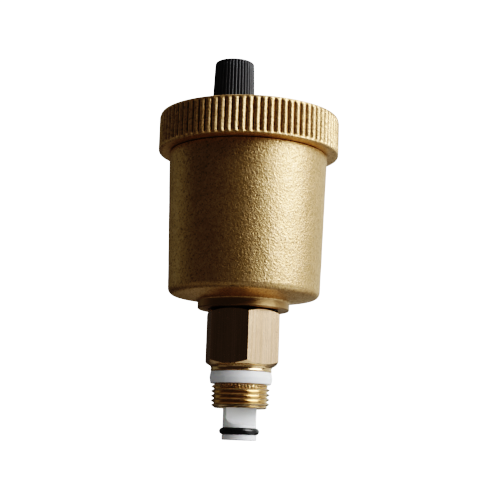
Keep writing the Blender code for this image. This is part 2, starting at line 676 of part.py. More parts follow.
def make_float_cover(parent):
    """Plug-in cover of the float, with the boss that holds its post."""
    plug_r = FLOAT_R - FLOAT_WALL - GAP
    plug_bottom = FLOAT_SHELL_TOP - 1.4
    cover_bottom = FLOAT_SHELL_TOP + GAP
    cover = turned("float_cover", [
        (0, FLOAT_TOP), (FLOAT_R - 0.2, FLOAT_TOP), (FLOAT_R, FLOAT_TOP - 0.2), (FLOAT_R, cover_bottom),
        (plug_r, cover_bottom), (plug_r, plug_bottom), (plug_r - 1, plug_bottom),
        (plug_r - 1, cover_bottom - 0.3), (0, cover_bottom - 0.3)], parent, steps=36)
    place = (POST_X, 0, 0)
    boss = cylinder("post_boss", 2.6, plug_bottom, FLOAT_TOP + 1.2, parent, place, 20)
    hole = cylinder("post_hole", 1.6, plug_bottom + 0.8, FLOAT_TOP + 2, parent, place, 16)
    combine(cover, "UNION", boss)
    combine(cover, "DIFFERENCE", hole)
    finish(cover, white_plastic())


def make_float_post(parent):
    """Turned post on the float, with the groove that the lever's fork sits in."""
    groove_bottom = POST_GROOVE_Z - 0.85
    groove_top = POST_GROOVE_Z + 0.95
    flange_r = 1.9
    post_bottom = FLOAT_SHELL_TOP - 1.4 + 0.8 + GAP
    post = turned("float_post", [
        (0, groove_top + 0.6), (flange_r - 0.2, groove_top + 0.6), (flange_r, groove_top + 0.4),
        (flange_r, groove_top), (0.8, groove_top), (0.8, groove_bottom), (flange_r, groove_bottom),
        (flange_r, groove_bottom - 0.5), (1.3, groove_bottom - 0.5), (1.3, post_bottom),
        (0, post_bottom)], parent, (POST_X, 0, 0), 16)
    finish(post, machined_brass())


# ---------------------------------------------------------------- assembly

def main():
    clear_scene()
    check_valve = frame("check_valve_frame")
    plunger = frame("plunger_frame", parent=check_valve)
    vent = frame("vent_frame", parent=check_valve)
    lid = frame("lid_frame", parent=vent)
    cap = frame("cap_frame", (NOZZLE_X, 0, 0), lid)
    valve = frame("valve_frame", (NOZZLE_X, 0, 0), lid)
    lever = frame("lever_frame", (PIVOT_X, 0, PIVOT_Z), lid)
    lever.rotation_euler.y = math.radians(LEVER_REST_TILT)
    float_frame = frame("float_frame", parent=lid)

    make_check_valve_body(check_valve)
    make_thread_seal_ring(check_valve)
    make_check_plunger(plunger)
    make_plunger_o_ring(plunger)
    make_plunger_spring(check_valve)
    make_union_o_ring(vent)
    make_bell_body(vent)
    make_lid_o_ring(lid)
    make_lid(lid)
    make_cap_seal(cap)
    make_vent_cap(cap)
    make_lever_bracket(lid)
    make_bracket_screws(lid)
    make_lever_pin(lid)
    make_float_lever(lever)
    make_valve_stem(valve)
    make_valve_pad(valve)
    make_valve_spring(lid)
    make_float_shell(float_frame)
    make_float_cover(float_frame)
    make_float_post(float_frame)


main()
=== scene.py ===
"""The looks of the automatic air vent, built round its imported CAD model.

Places come from the CAD nodes' boxes and from the sizes below. Lengths are in millimetres until a
mesh is made. Each shape is a grid of points, rows along an outline and columns round an axis,
welded into a closed solid.
"""

import json
import math

import bmesh
import bpy
import numpy as np
from mathutils import Matrix, Vector, noise


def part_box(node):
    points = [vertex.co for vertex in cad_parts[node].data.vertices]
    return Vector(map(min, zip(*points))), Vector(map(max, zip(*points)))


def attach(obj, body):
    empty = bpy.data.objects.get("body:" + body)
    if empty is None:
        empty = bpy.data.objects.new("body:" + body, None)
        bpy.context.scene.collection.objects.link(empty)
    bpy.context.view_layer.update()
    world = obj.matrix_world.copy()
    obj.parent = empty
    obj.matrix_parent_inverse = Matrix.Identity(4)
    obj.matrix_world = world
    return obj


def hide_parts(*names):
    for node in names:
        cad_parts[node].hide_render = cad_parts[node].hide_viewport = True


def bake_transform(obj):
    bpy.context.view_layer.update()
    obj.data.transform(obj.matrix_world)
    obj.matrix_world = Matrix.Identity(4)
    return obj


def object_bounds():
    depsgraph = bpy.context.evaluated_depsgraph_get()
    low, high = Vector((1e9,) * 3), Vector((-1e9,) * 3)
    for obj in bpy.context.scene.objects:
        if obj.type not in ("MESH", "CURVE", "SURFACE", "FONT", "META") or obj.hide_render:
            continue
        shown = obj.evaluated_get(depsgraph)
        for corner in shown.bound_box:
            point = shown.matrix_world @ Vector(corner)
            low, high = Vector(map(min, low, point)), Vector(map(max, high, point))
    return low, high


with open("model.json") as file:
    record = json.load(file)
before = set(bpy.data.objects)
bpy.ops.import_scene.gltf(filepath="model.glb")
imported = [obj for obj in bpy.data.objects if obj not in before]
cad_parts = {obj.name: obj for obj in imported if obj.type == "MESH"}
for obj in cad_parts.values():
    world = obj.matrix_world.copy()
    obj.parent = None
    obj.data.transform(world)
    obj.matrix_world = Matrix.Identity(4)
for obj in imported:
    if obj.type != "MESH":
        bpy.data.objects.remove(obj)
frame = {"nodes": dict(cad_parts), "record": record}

cad_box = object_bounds()

MM = 0.001
WELD = 0.001  # points nearer than this are one point
GAP = 0.3  # what the CAD leaves between pieces that touch
UNION_LIFT = 0.45  # how much higher the hexagon ends than in the CAD
UNION_GAP = 0.12  # between the hexagon and the boss above it
ARC_STEPS = 5
OVERSHOOT = 1.0  # how far a cutter reaches past the face it cuts

# Columns round a piece
BELL_COLUMNS = 240
RING_COLUMNS = 144
SEAL_COLUMNS = 180
PLUNGER_COLUMNS = 256
NOZZLE_COLUMNS = 96
PAD_COLUMNS = 72
HOLE_COLUMNS = 32

# Threads: pitch, crest radius, root radius
PIPE_THREAD = (1.337, 8.331, 7.475)
SPIGOT_THREAD = (1.337, 8.03, 7.25)
SOCKET_THREAD = (1.337, 9.0, 8.33)
NECK_THREAD = (1.5, 22.3, 21.45)
LID_THREAD = (1.5, 23.5, 22.7)
NOZZLE_THREAD = (1.25, 4.1, 3.4)
CAP_THREAD = (1.25, 4.9, 4.4)
THREAD_SOFT = 0.6  # how far a thread leans from a sharp zigzag to a soft wave, 0 to 1
THREAD_RELIEF = 0.05  # how far a plain end lies below the thread's root
THREAD_ROWS = (0, 0.06, 0.13, 0.22, 0.31, 0.4, 0.5, 0.6, 0.69, 0.78, 0.87, 0.94)  # of one pitch

# Check valve
HEX_FLATS = 19.5
HEX_BOTTOM = 12.05
HEX_FLAT_ANGLE = -22.0  # degrees from -Y to the nearest flat, counted towards +X
HEX_CHAMFER = 30.0
HEX_EDGE_RADIUS = 0.14
HEX_END_INSET = 0.35  # how far the flat end's circle lies inside the flats
FLAT_BEVEL = 0.05  # where a chamfer meets a flat
END_BEVEL = 0.04  # where a chamfer meets an end
EDGE_COLUMNS = (-1.2, -0.8, -0.5, -0.25, 0, 0.25, 0.5, 0.8, 1.2)  # degrees from a hexagon's edge
FLAT_COLUMNS = (2, 58, 43)  # degrees from an edge, and how many
NECK_R = 8.9
NECK_HOLLOW = 0.55
NECK_FILLET = 0.9
NECK_EDGE = (0.1, 0.2, 0.1)  # the neck's lower edge: how far in, how far up, fillet
NECK_END_INSET = 0.5
GROOVE_R = 7.2
NECK_BOTTOM = 10.3
THREAD_TOP = 6.8
THREAD_NOTCHES = 48
NOTCH_BAND = (1.15, 0.15)  # how far below the thread's top the notches start and end
NOTCH_FLOOR = 0.25  # how far above the groove they stop
NOTCH_DEPTH = 0.55
NOTCH_FADE = (0.25, 0.1)  # over what height they start and end
PIPE_RUNOUT = 1.4  # how steeply the pipe thread fades at its ends
SOCKET_FLOOR = 15.9
SOCKET_LEAD = 1.2
SOCKET_CHAMFER = 0.45
CHAMBER_R = 6.3
CHAMBER_FLOOR = 11.0
WATERWAY_R = 5.1
SEAT_R = 6.2
SEAL_DROP = 0.25  # how much lower the seal ring ends than in the CAD
SEAL_BULGE_RADIUS = 2.2
SEAL_BULGE = 0.02  # past the ring's radius in the CAD
SEAL_INSET = (0.32, 0.34)  # how far inside that radius its top and bottom edges lie
SEAL_EDGE_RADIUS = 0.25
SEAL_GAP = 0.05

# Plunger
STEM_R = 4.78
STEM_END = -5.42
DISC_R = 4.93
DISC_TOP = -7.38
BLADE_HALF = 1.6
BLADE_ANGLE = 16.0  # degrees from -Y to the flat's normal, counted towards +X
LEDGE_LEFT = -3.85
LEDGE_RIGHT = -4.75
LEDGE_CORNER = 2.2
BLADE_EDGE_SOFT = 0.012
LEDGE_TILT = 0.12
LEDGE_FILLETS = (0.3, 0.15)  # at the flat and at the stem
LEAST_STEP = 0.05  # a narrower ledge is left out
LEAST_COSINE = 0.05  # past this angle from its normal the blade's flat lies outside the stem
HEAD_FILLETS = (0.25, 0.1)
DISC_FILLET = 0.28
HEAD_THICK = 1.4
HEAD_SLOT = 2.4
HEAD_SLOT_DEEP = 1.0
FLASH = 0.015  # how far the mould's flash line stands out on a ring

# Bell
SPIGOT_BORE_R = 4.4
BOSS_R = 13.15
CONE_START = (13.15, 30.43)
CONE_END = (21.8, 31.95)
EDGE_RADIUS = 2.0
BELL_BOTTOM_R = 21.85
SHOULDER = 73.3
BELL_FLOOR = 34.1
BORE_BOTTOM_R = 19.6
BORE_TOP_R = 20.7
RECESS_R = 10.0
RECESS_DEEP = 1.4
BOSS_CHAMFER = 0.22
CONE_FILLET = 0.7
SPIGOT_UNDERCUT = 0.4
SIDE_TAPER = 0.02  # how far the side leans in over its topmost millimetre
FLOOR_RISE = 0.7
FLOOR_FILLETS = (0.6, 3.2)  # at the spigot's bore and at the side
SHOULDER_LEAD = 0.5
SHOULDER_FILLETS = (0.2, 0.25)  # at the neck and at the side
RIM_CHAMFER = 0.2
CAST_BAND = (2.6, 0.6)  # how far above the boss's underside and below the shoulder it is rough
ROUGH_DEPTH = 0.05  # unevenness of a cast or moulded skin
CAST_WAVE = 5.0
SEAL_WAVE = 2.5

# Lid
LID_RIDGES = 82
RIDGE_COLUMNS = 14
RIDGE_ROWS = 34
RIDGE_WAVER = 0.22
RIDGE_SHARPNESS = 0.9
RIDGE_DEPTH = 0.66
RIDGE_BOTTOM = 74.0
FOOT_LIFT = 0.4  # how much higher the lid ends, above the bell's shoulder, than in the CAD
RIDGE_TOP = 84.0
RIDGE_STARTS = (0.05, 0.15)  # how far past their top and bottom the ridges start
RIDGE_RISES = (0.75, 0.7)  # over what height they get their full depth there
CREST_DROPS = (0.24, 0.05)  # how much nearer the axis the crests end
TOP_EDGE = ((1.2, 0), (0.62, 0.04), (0.36, 0.14), (0.24, 0.3))  # how far in, how far down
RIDGE_CREST_R = 26.3
VALLEY_SHADE_BAND = (0.66, 0.3)  # how far inside the crests the painted valley shade and dirt are full, and gone
COLLAR_INSET = 0.05
COLLAR_DROP = 0.12
COLLAR_EDGE = ((0.1, 0.25, 0.15), (0.9, 0, 0.3))  # how far in, how far up, fillet
LID_TOP = 84.4
LID_UNDERSIDE = 81.6
LID_BORE_R = 22.7
NOZZLE_R = 4.1
NOZZLE_BORE_R = 2.2
ORIFICE_R = 0.9
NOZZLE_CHAMFER = 0.15
NOZZLE_ROOT = 0.25  # how much wider the nozzle is where it meets the lid
AIRWAY_CONE = (0.8, 1.6)  # how far below the lid's top the airway starts and stops narrowing
VALVE_SEAT_R = 2.4
VALVE_SEAT_Z = 80.6
VALVE_SEAT_CHAMFER = 0.2
SCREW_X = -14.85
SCREW_Y = 4.4
SCREW_HOLE_R = 1.35
SCREW_HOLE_ROOF = 0.9  # what is left of the lid above a screw hole
MOUTH_CHAMFER = 1.2
BORE_LEAD = 0.2
ROOF_LEAD = 1.0

# Cap
CAP_TOP_R = 5.8
CAP_RISE = 0.3  # how much higher the cap ends than in the CAD
CAP_RIBS = 36
RIB_COLUMNS = 10
RIB_DEPTH = 0.3
RIB_INSET = 0.05
RIB_SHARPNESS = 0.8
RIB_ROWS = 12
RIB_ENDS = (1.3, 0.35)  # how far from the cap's top and foot the even ribs end
CAP_DISH = 0.12
CAP_DISH_EDGE = (2.2, 1.9, 1.6)  # from the top's radius in to the dish, the rim and the edge
CAP_EDGE_RADIUS = 0.6
CAP_EDGE_DOWN = 1.2
PAD_FILLET = 0.2
PAD_HOLLOW = 0.15
PAD_HOLLOW_R = (1.9, 1.6)
CAP_CEILING = 98.8
CAP_LEAD_IN = 0.5
CAP_LEAD_OUT = 1.5

# Springs: radius of the wire, turns, closed turns at each end
PLUNGER_SPRING = (0.35, 4.25, 0.7)
STEM_SPRING = (0.17, 3.5, 0.6)
CLOSED_PITCH = 0.25  # of the open turns' pitch
STEPS_PER_TURN = 36
WIRE_SIDES = 12

# Colours: linear red, green and blue
CAST_DARK = (0.74, 0.525, 0.285)
CAST_LIGHT = (0.83, 0.60, 0.335)
CAST_PIT = (0.50, 0.35, 0.19)
CAST_GLINT = (0.90, 0.68, 0.43)
# painted shade in the lid's ridge valleys, with a little dirt
VALLEY_SHADE_AND_GRIME = (0.30, 0.235, 0.17)
TURNED_DARK = (0.74, 0.53, 0.31)
TURNED_LIGHT = (0.82, 0.60, 0.36)
TURNED_BRIGHT = (0.96, 0.76, 0.52)
STEEL_DARK = (0.50, 0.48, 0.45)
STEEL_LIGHT = (0.66, 0.65, 0.63)
PAPER_DARK = (0.86, 0.86, 0.86)
PAPER_LIGHT = (0.90, 0.90, 0.90)
GREENISH = (0.88, 1.0, 0.98)
WHITE = (1, 1, 1)

# Light in the scene against what is shown of it
TONES = ((0, 0), (0.05, 0.008), (0.07, 0.018), (0.12, 0.06), (0.19, 0.138), (0.31, 0.275),
         (0.58, 0.497), (1.2, 0.767), (2.0, 0.92), (3.0, 1.0))
WHITE_LEVEL = TONES[-1][0]
ROOM_COLOR = (1.0, 0.93, 0.85)
ROOM_LEVEL = 0.08
BACKDROP_LEVEL = 3.2  # white, just past the end of the curve
FLOOR_LEVEL = -0.3
FLOOR_HALF = 6.0

# Softboxes: azimuth and elevation in degrees, size in metres, radiance, seen in reflections, tint
PANEL_DISTANCE = 0.7
SOFTBOXES = {
    "key": (63, 34, (0.56, 0.6), 5.8, True, WHITE),
    "key_foot": (65, -3, (0.5, 0.3), 1.1, True, WHITE),
    "side": (122, 12, (0.6, 0.8), 0.65, True, WHITE),
    "back": (160, 10, (0.5, 0.6), 0.7, True, GREENISH),
    "low_back": (150, -48, (1.2, 0.6), 0.22, True, WHITE),
    "top": (0, 85, (0.7, 0.7), 1.0, True, WHITE),
    "left": (-120, 10, (0.5, 0.6), 0.17, True, GREENISH),
    "low_left": (-80, -30, (0.6, 0.4), 0.15, True, WHITE),
    "low_right": (80, -38, (0.7, 0.5), 0.9, True, WHITE),
    "low_front": (-5, -52, (0.8, 0.35), 0.26, True, WHITE),
    "bounce": (62, 0, (0.8, 0.8), 1.6, False, WHITE),
    "fill": (-45, 0, (0.8, 0.8), 0.5, False, WHITE),
}

# Camera: lens in millimetres, place in metres, pan, tilt and roll in degrees
LENS = 86.8
CAMERA_PLACE = (0, -0.3439, -0.0115)
CAMERA_TURN = (-0.23, 99.42, 1.90)


def span(node):
    """A CAD node's lowest and highest corner, in millimetres."""
    low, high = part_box(node)
    return Vector(low) / MM, Vector(high) / MM


# ---------------------------------------------------------------- outlines and grids

def even_angles(count):
    return np.linspace(0, 2 * math.pi, count, endpoint=False)


def smoothstep(value):
    value = np.clip(value, 0, 1)
    return value * value * (3 - 2 * value)


def rounded(corners, steps=ARC_STEPS):
    """An outline from corners (radius, height), or (radius, height, fillet) for an arc there."""
    outline = []
    for index, corner in enumerate(corners):
        here = np.array(corner[:2])
        if len(corner) < 3:
            outline.append(tuple(here))
            continue
        to_last = np.array(corners[index - 1][:2]) - here
        to_next = np.array(corners[index + 1][:2]) - here
        to_last /= np.linalg.norm(to_last)
        to_next /= np.linalg.norm(to_next)
        half = math.acos(float(to_last @ to_next)) / 2
        middle = (to_last + to_next) / np.linalg.norm(to_last + to_next)
        centre = here + middle * corner[2] / math.sin(half)
        start = here + to_last * corner[2] / math.tan(half) - centre
        end = here + to_next * corner[2] / math.tan(half) - centre
        sweep = math.pi - 2 * half
        for share in np.linspace(0, 1, steps + 1):
            arm = (start * math.sin((1 - share) * sweep) + end * math.sin(share * sweep))
            outline.append(tuple(centre + arm / math.sin(sweep)))
    return outline


def filled(outline, step):
    """The outline with points added, so that none lie further apart than step."""
    full = [outline[0]]
    for start, end in zip(outline, outline[1:]):
        count = max(1, math.ceil(math.dist(start, end) / step))
        for share in np.linspace(0, 1, count + 1)[1:]:
            full.append(tuple(np.array(start) * (1 - share) + np.array(end) * share))
    return full


def turned(outline, angles, centre=(0, 0)):
    """A grid of the outline turned about Z. Radii and heights may be arrays over the columns."""
    points = np.empty((len(outline), len(angles), 3))
    for row, (radius, height) in enumerate(outline):
        points[row, :, 0] = centre[0] + radius * np.cos(angles)
        points[row, :, 1] = centre[1] + radius * np.sin(angles)
        points[row, :, 2] = height
    return points, 0


def threaded(thread, angles, bottom, top, ends, centre=(0, 0), slope=1.0, notch=None):
    """A grid of a right-hand thread whose rows follow the helix. It fades to the end radii."""
    pitch, crest, root = thread
    first = math.floor(bottom / pitch) - 2
    last = math.ceil(top / pitch) + 1
    turns = np.array([turn + row for turn in range(first, last) for row in THREAD_ROWS])
    heights = (turns[:, None] + angles[None, :] / (2 * math.pi)) * pitch
    heights = np.clip(heights, bottom, top)
    phase = (heights / pitch - angles[None, :] / (2 * math.pi) + 0.5) % 1 - 0.5
    zigzag = 1 - 2 * np.abs(phase)
    wave = 0.5 - 0.5 * np.cos(math.pi * zigzag)
    share = zigzag + THREAD_SOFT * (wave - zigzag)
    radii = root + (crest - root) * share
    fade = np.minimum(ends[0] + (heights - bottom) * slope, ends[1] + (top - heights) * slope)
    radii = np.minimum(radii, fade)
    if notch:
        radii = radii - notch(radii, heights, angles)
    points = np.stack([centre[0] + radii * np.cos(angles), centre[1] + radii * np.sin(angles),
                       heights], axis=2)
    return points, len(THREAD_ROWS)


def roughened(grid, amount, size, low=-math.inf, high=math.inf):
    """The grid pushed in and out along its radii by noise, fading out at two heights if given."""
    points, turn_rows = grid
    points = points.copy()
    for point in points.reshape(-1, 3):
        inside = min(1.0, (point[2] - low) / size, (high - point[2]) / size)
        if inside > 0:
            coarse = noise.noise(Vector(point) / size)
            fine = noise.noise(Vector(point) * 3 / size) / 3
            point[:2] *= 1 + inside * amount * (coarse + fine) / max(1.0, math.hypot(*point[:2]))
    return points, turn_rows


def grid_faces(rows, columns, first, turn_rows):
    """Quads between a grid's rows. Its last column meets the first one, turn_rows further on."""
    row, column = np.meshgrid(np.arange(rows - 1), np.arange(columns), indexing="ij")
    wraps = column == columns - 1
    next_column = np.where(wraps, 0, column + 1)
    shift = np.where(wraps, turn_rows, 0)
    near = np.minimum(row + shift, rows - 1)
    far = np.minimum(row + 1 + shift, rows - 1)
    corners = [row * columns + column, near * columns + next_column,
               far * columns + next_column, (row + 1) * columns + column]
    return first + np.stack(corners, axis=2).reshape(-1, 4)


def weld(mesh):
    """Joins points that meet, and turns every face outward."""
    shell = bmesh.new()
    shell.from_mesh(mesh)
    bmesh.ops.remove_doubles(shell, verts=shell.verts, dist=WELD * MM)
    bmesh.ops.dissolve_degenerate(shell, edges=shell.edges, dist=WELD * MM)
    bmesh.ops.recalc_face_normals(shell, faces=shell.faces)
    shell.to_mesh(mesh)
    shell.free()


def solid(name, *grids):
    """An object whose mesh is the grids welded together where their points meet."""
    vertices, faces, count = [], [], 0
    for points, turn_rows in grids:
        vertices.append(points.reshape(-1, 3))
        faces.append(grid_faces(*points.shape[:2], count, turn_rows))
        count += points.shape[0] * points.shape[1]
    mesh = bpy.data.meshes.new(name)
    mesh.from_pydata(np.concatenate(vertices) * MM, [], np.concatenate(faces).tolist())
    weld(mesh)
    made = bpy.data.objects.new(name, mesh)
    bpy.context.scene.collection.objects.link(made)
    return made


def combined(piece, operation, *tools):
    """The piece with each tool joined on (UNION) or cut away (DIFFERENCE), settled at once."""
    for tool in tools:
        modifier = piece.modifiers.new(tool.name, "BOOLEAN")
        modifier.operation = operation
        modifier.solver = "EXACT"
        modifier.object = tool
    evaluated = piece.evaluated_get(bpy.context.evaluated_depsgraph_get())
    mesh = bpy.data.meshes.new_from_object(evaluated)
    piece.modifiers.clear()
    piece.data = mesh
    weld(mesh)
    for tool in tools:
        bpy.data.objects.remove(tool, do_unlink=True)
    return piece


def block(name, low, high):
    """A box between two corners, to cut with."""
    mesh = bpy.data.meshes.new(name)
    cube = bmesh.new()
    bmesh.ops.create_cube(cube, size=MM)
    sizes = [b - a for a, b in zip(low, high)]
    middle = [(a + b) / 2 * MM for a, b in zip(low, high)]
    bmesh.ops.scale(cube, vec=sizes, verts=cube.verts)
    bmesh.ops.translate(cube, vec=middle, verts=cube.verts)
    cube.to_mesh(mesh)
    cube.free()
    made = bpy.data.objects.new(name, mesh)
    bpy.context.scene.collection.objects.link(made)
    return made


def dress(piece, look, body, node, sharp=32.0):
    """Shades and paints a piece, which rides on a body and stands for its CAD node."""
    piece.data.shade_smooth()
    piece.data.set_sharp_from_angle(angle=math.radians(sharp))
    piece.data.materials.clear()
    piece.data.materials.append(look)
    if body:
        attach(piece, body)
    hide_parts(node)
    return piece


# ---------------------------------------------------------------- materials

class Look:
    """A material whose patterns are set out in the part's own frame, with sizes in millimetres."""

    def __init__(self, name, metallic=0.0):
        self.material = bpy.data.materials.new(name)
        self.material.use_nodes = True
        self.tree = self.material.node_tree
        self.shader = self.tree.nodes["Principled BSDF"]
        self.shader.inputs["Metallic"].default_value = metallic
        self.place = self.tree.nodes.new("ShaderNodeTexCoord").outputs["Object"]

    def node(self, kind, links=None, values=None, **settings):
        made = self.tree.nodes.new(kind)
        for key, value in settings.items():
            setattr(made, key, value)
        for key, value in (values or {}).items():
            made.inputs[key].default_value = value
        for key, socket in (links or {}).items():
            self.tree.links.new(socket, made.inputs[key])
        return made

    def noise(self, size, detail=2.0, stretch=(1, 1, 1), seed=0.0, warp=0.0):
        """A noise of blotches about size across, drawn out along an axis by stretch."""
        scale = [1 / (size * MM * factor) for factor in stretch]
        turn = (0, 0, 0) if stretch != (1, 1, 1) else (0.6, 0.4, 0.8)  # clear of the axes
        mapping = self.node("ShaderNodeMapping", {"Vector": self.place},
                            {"Scale": scale, "Location": (seed, seed, seed), "Rotation": turn})
        made = self.node("ShaderNodeTexNoise", {"Vector": mapping.outputs["Vector"]},
                         {"Scale": 1.0, "Detail": detail, "Distortion": warp})
        return made.outputs["Fac"]

    def radius(self):
        """The distance from the Z axis."""
        flat = self.node("ShaderNodeVectorMath", {0: self.place}, {1: (1, 1, 0)},
                         operation="MULTIPLY")
        length = self.node("ShaderNodeVectorMath", {0: flat.outputs[0]}, operation="LENGTH")
        return length.outputs["Value"]

    def rings(self, size):
        """A noise of rings round the Z axis, as a turning tool leaves them."""
        axes = self.node("ShaderNodeSeparateXYZ", {0: self.place})
        place = self.node("ShaderNodeCombineXYZ", {"X": self.radius(), "Z": axes.outputs["Z"]})
        made = self.node("ShaderNodeTexNoise", {"Vector": place.outputs[0]},
                         {"Scale": 1 / (size * MM), "Detail": 2.0}, noise_dimensions="3D")
        return made.outputs["Fac"]

    def ranged(self, factor, low, high, start=0.3, end=0.7):
        """A factor from start to end, spread over low to high."""
        made = self.node("ShaderNodeMapRange", {"Value": factor},
                         {"From Min": start, "From Max": end, "To Min": low, "To Max": high})
        return made.outputs["Result"]

    def blend(self, factor, first, second, mode="MIX"):
        """A mix of two colours or sockets by a factor."""
        made = self.node("ShaderNodeMix", data_type="RGBA", blend_type=mode)
        for socket, value in ((0, factor), (6, first), (7, second)):
            if isinstance(value, bpy.types.NodeSocket):
                self.tree.links.new(value, made.inputs[socket])
            elif socket:
                made.inputs[socket].default_value = (*value, 1)
            else:
                made.inputs[socket].default_value = value
        return made.outputs[2]

    def bump(self, height, distance, strength=1.0, under=None):
        """A normal from a height, laid over the normal from an earlier bump."""
        links = {"Height": height}
        if under:
            links["Normal"] = under
        made = self.node("ShaderNodeBump", links,
                         {"Distance": distance * MM, "Strength": strength})
        return made.outputs["Normal"]

    def finish(self, color, roughness, normal=None, **values):
        self.tree.links.new(color, self.shader.inputs["Base Color"])
        self.tree.links.new(roughness, self.shader.inputs["Roughness"])
        if normal:
            self.tree.links.new(normal, self.shader.inputs["Normal"])
        for key, value in values.items():
            self.shader.inputs[key.replace("_", " ")].default_value = value
        return self.material


def cast_brass_look(name, unshaded_r=None):
    """Blasted brass casting: dense small pits, faint clouds, and, further in than the given
    radius, painted shade with a little dirt.
    """
    look = Look(name, metallic=1.0)
    grain = look.noise(0.54, detail=1, warp=0.4)
    pits = look.noise(1.0, detail=1, seed=5, warp=0.4)
    clouds = look.noise(7.0, detail=4, seed=11)
    color = look.blend(look.ranged(clouds, 0, 1), CAST_DARK, CAST_LIGHT)
    color = look.blend(look.ranged(grain, 0.75, 0, 0.30, 0.50), color, CAST_PIT)
    color = look.blend(look.ranged(pits, 0, 0.5, 0.45, 0.65), color, CAST_GLINT)
    # painted shade, with a little dirt, darkens the ridge valleys inside the crests
    if unshaded_r:
        full, gone = ((unshaded_r - inward) * MM for inward in VALLEY_SHADE_BAND)
        shade_and_grime = look.ranged(look.radius(), 1, 0, full, gone)
        color = look.blend(shade_and_grime, color, VALLEY_SHADE_AND_GRIME, "MULTIPLY")
    roughness = look.ranged(grain, 0.52, 0.38)
    normal = look.bump(grain, 0.13, 0.9)
    normal = look.bump(pits, 0.09, 0.7, under=normal)
    return look.finish(color, roughness, normal)


def machined_brass_look(name, lines_of, depth, contrast=0.35, roughness=(0.18, 0.28),
                        shade=WHITE):
    """Bright brass with fine tool lines and a few darker stains; shade scales its colours,
    painting light into a copy above one and shade below one.
    """
    look = Look(name, metallic=1.0)
    lines = lines_of(look)
    scuffs = look.noise(0.9, detail=3, seed=3)
    stains = look.noise(5.0, detail=3, seed=8)
    # shade scales the colours: above one it paints light into this copy, below one it paints shade
    dark, light, bright = (tuple(level * share for level, share in zip(levels, shade))
                           for levels in (TURNED_DARK, TURNED_LIGHT, TURNED_BRIGHT))
    color = look.blend(look.ranged(stains, 0, 1), dark, light)
    color = look.blend(look.ranged(lines, 0, contrast), color, bright)
    normal = look.bump(lines, depth, 1.0)
    return look.finish(color, look.ranged(scuffs, *roughness), normal)


def plastic_look(name, dark, light, roughness, depth=0.01, **values):
    """A moulded plastic or rubber with a fine skin and faint flow marks."""
    look = Look(name)
    skin = look.noise(0.3, detail=3)
    flow = look.noise(4.0, detail=3, stretch=(1, 1, 3), seed=4)
    color = look.blend(look.ranged(flow, 0, 1), dark, light)
    normal = look.bump(skin, depth, 0.5)
    return look.finish(color, look.ranged(skin, *roughness), normal, **values)


def spring_steel_look():
    """Bright stainless wire and sheet, with drawing lines and a faint brown cast."""
    look = Look("spring_steel", metallic=1.0)
    lines = look.noise(0.08, detail=2, stretch=(1, 1, 12))
    stains = look.noise(2.5, detail=3, seed=6)
    color = look.blend(look.ranged(stains, 0, 1), STEEL_DARK, STEEL_LIGHT)
    return look.finish(color, look.ranged(lines, 0.20, 0.34), look.bump(lines, 0.008, 0.5))


LOOKS = {
    "cast_brass": cast_brass_look("cast_brass"),
    # the lid's ridges: cast brass with painted shade and a little dirt in the valleys
    "ridged_brass": cast_brass_look("ridged_brass", unshaded_r=RIDGE_CREST_R),
    "machined_brass": machined_brass_look("turned_brass", lambda look: look.rings(0.12), 0.006),
    # the hexagon's flats: drawn lines, and colours darkened by painted shade
    "drawn_brass": machined_brass_look(
        "drawn_brass", lambda look: look.noise(0.3, stretch=(1, 1, 120)), 0.02, contrast=0.9,
        shade=(0.86, 0.84, 0.88)),
    # the boss: turned brass darkened by painted shade
    "boss_brass": machined_brass_look("boss_brass", lambda look: look.rings(0.12), 0.006,
                                      roughness=(0.38, 0.46), shade=(0.66, 0.63, 0.58)),
    # the threads: turned brass lightened and whitened by painted light
    "thread_brass": machined_brass_look("thread_brass", lambda look: look.rings(0.3), 0.001,
                                        contrast=0.15, roughness=(0.22, 0.27),
                                        shade=(1.1, 1.2, 1.36)),
    "seal_plastic": plastic_look("seal_plastic", (0.87, 0.83, 0.83), (0.92, 0.88, 0.88),
                                 (0.40, 0.52), Subsurface_Weight=0.15),
    "white_plastic": plastic_look("white_plastic", (0.84, 0.84, 0.86), (0.90, 0.90, 0.91),
                                  (0.30, 0.42), Subsurface_Weight=0.10),
    "black_plastic": plastic_look("black_plastic", (0.034, 0.035, 0.038), (0.046, 0.048, 0.052),
                                  (0.36, 0.50), depth=0.03),
    "black_rubber": plastic_look("black_rubber", (0.018, 0.018, 0.019), (0.026, 0.026, 0.027),
                                 (0.20, 0.30), IOR=1.65),
    "spring_steel": spring_steel_look(),
}
SLOTS = {part["node"]: part["material_slot"] for part in frame["record"]["subparts"]}


# ---------------------------------------------------------------- check valve

def hexagon_radius(angles):
    """Distance from the axis to the hexagon's face at each angle, its edges slightly rounded."""
    first_flat = math.radians(HEX_FLAT_ANGLE - 90)
    from_flat = (angles - first_flat + math.pi / 6) % (math.pi / 3) - math.pi / 6
    flat = HEX_FLATS / 2 / np.cos(from_flat)
    centre = (HEX_FLATS / 2 - HEX_EDGE_RADIUS) / math.cos(math.pi / 6)
    from_edge = math.pi / 6 - np.abs(from_flat)
    reach = np.maximum(HEX_EDGE_RADIUS ** 2 - (centre * np.sin(from_edge)) ** 2, 0)
    edge = centre * np.cos(from_edge) + np.sqrt(reach)
    return np.where(reach > 0, np.minimum(flat, edge), flat)


def hexagon_angles():
    """Columns for the hexagon: even along its flats, and close together at its edges."""
    first_edge = math.radians(HEX_FLAT_ANGLE - 90 + 30)
    near_edge = np.radians(EDGE_COLUMNS)
    along_flat = np.radians(np.linspace(*FLAT_COLUMNS))
    side = np.concatenate([near_edge, along_flat])
    angles = np.concatenate([first_edge + index * math.pi / 3 + side for index in range(6)])
    return np.sort(angles % (2 * math.pi))


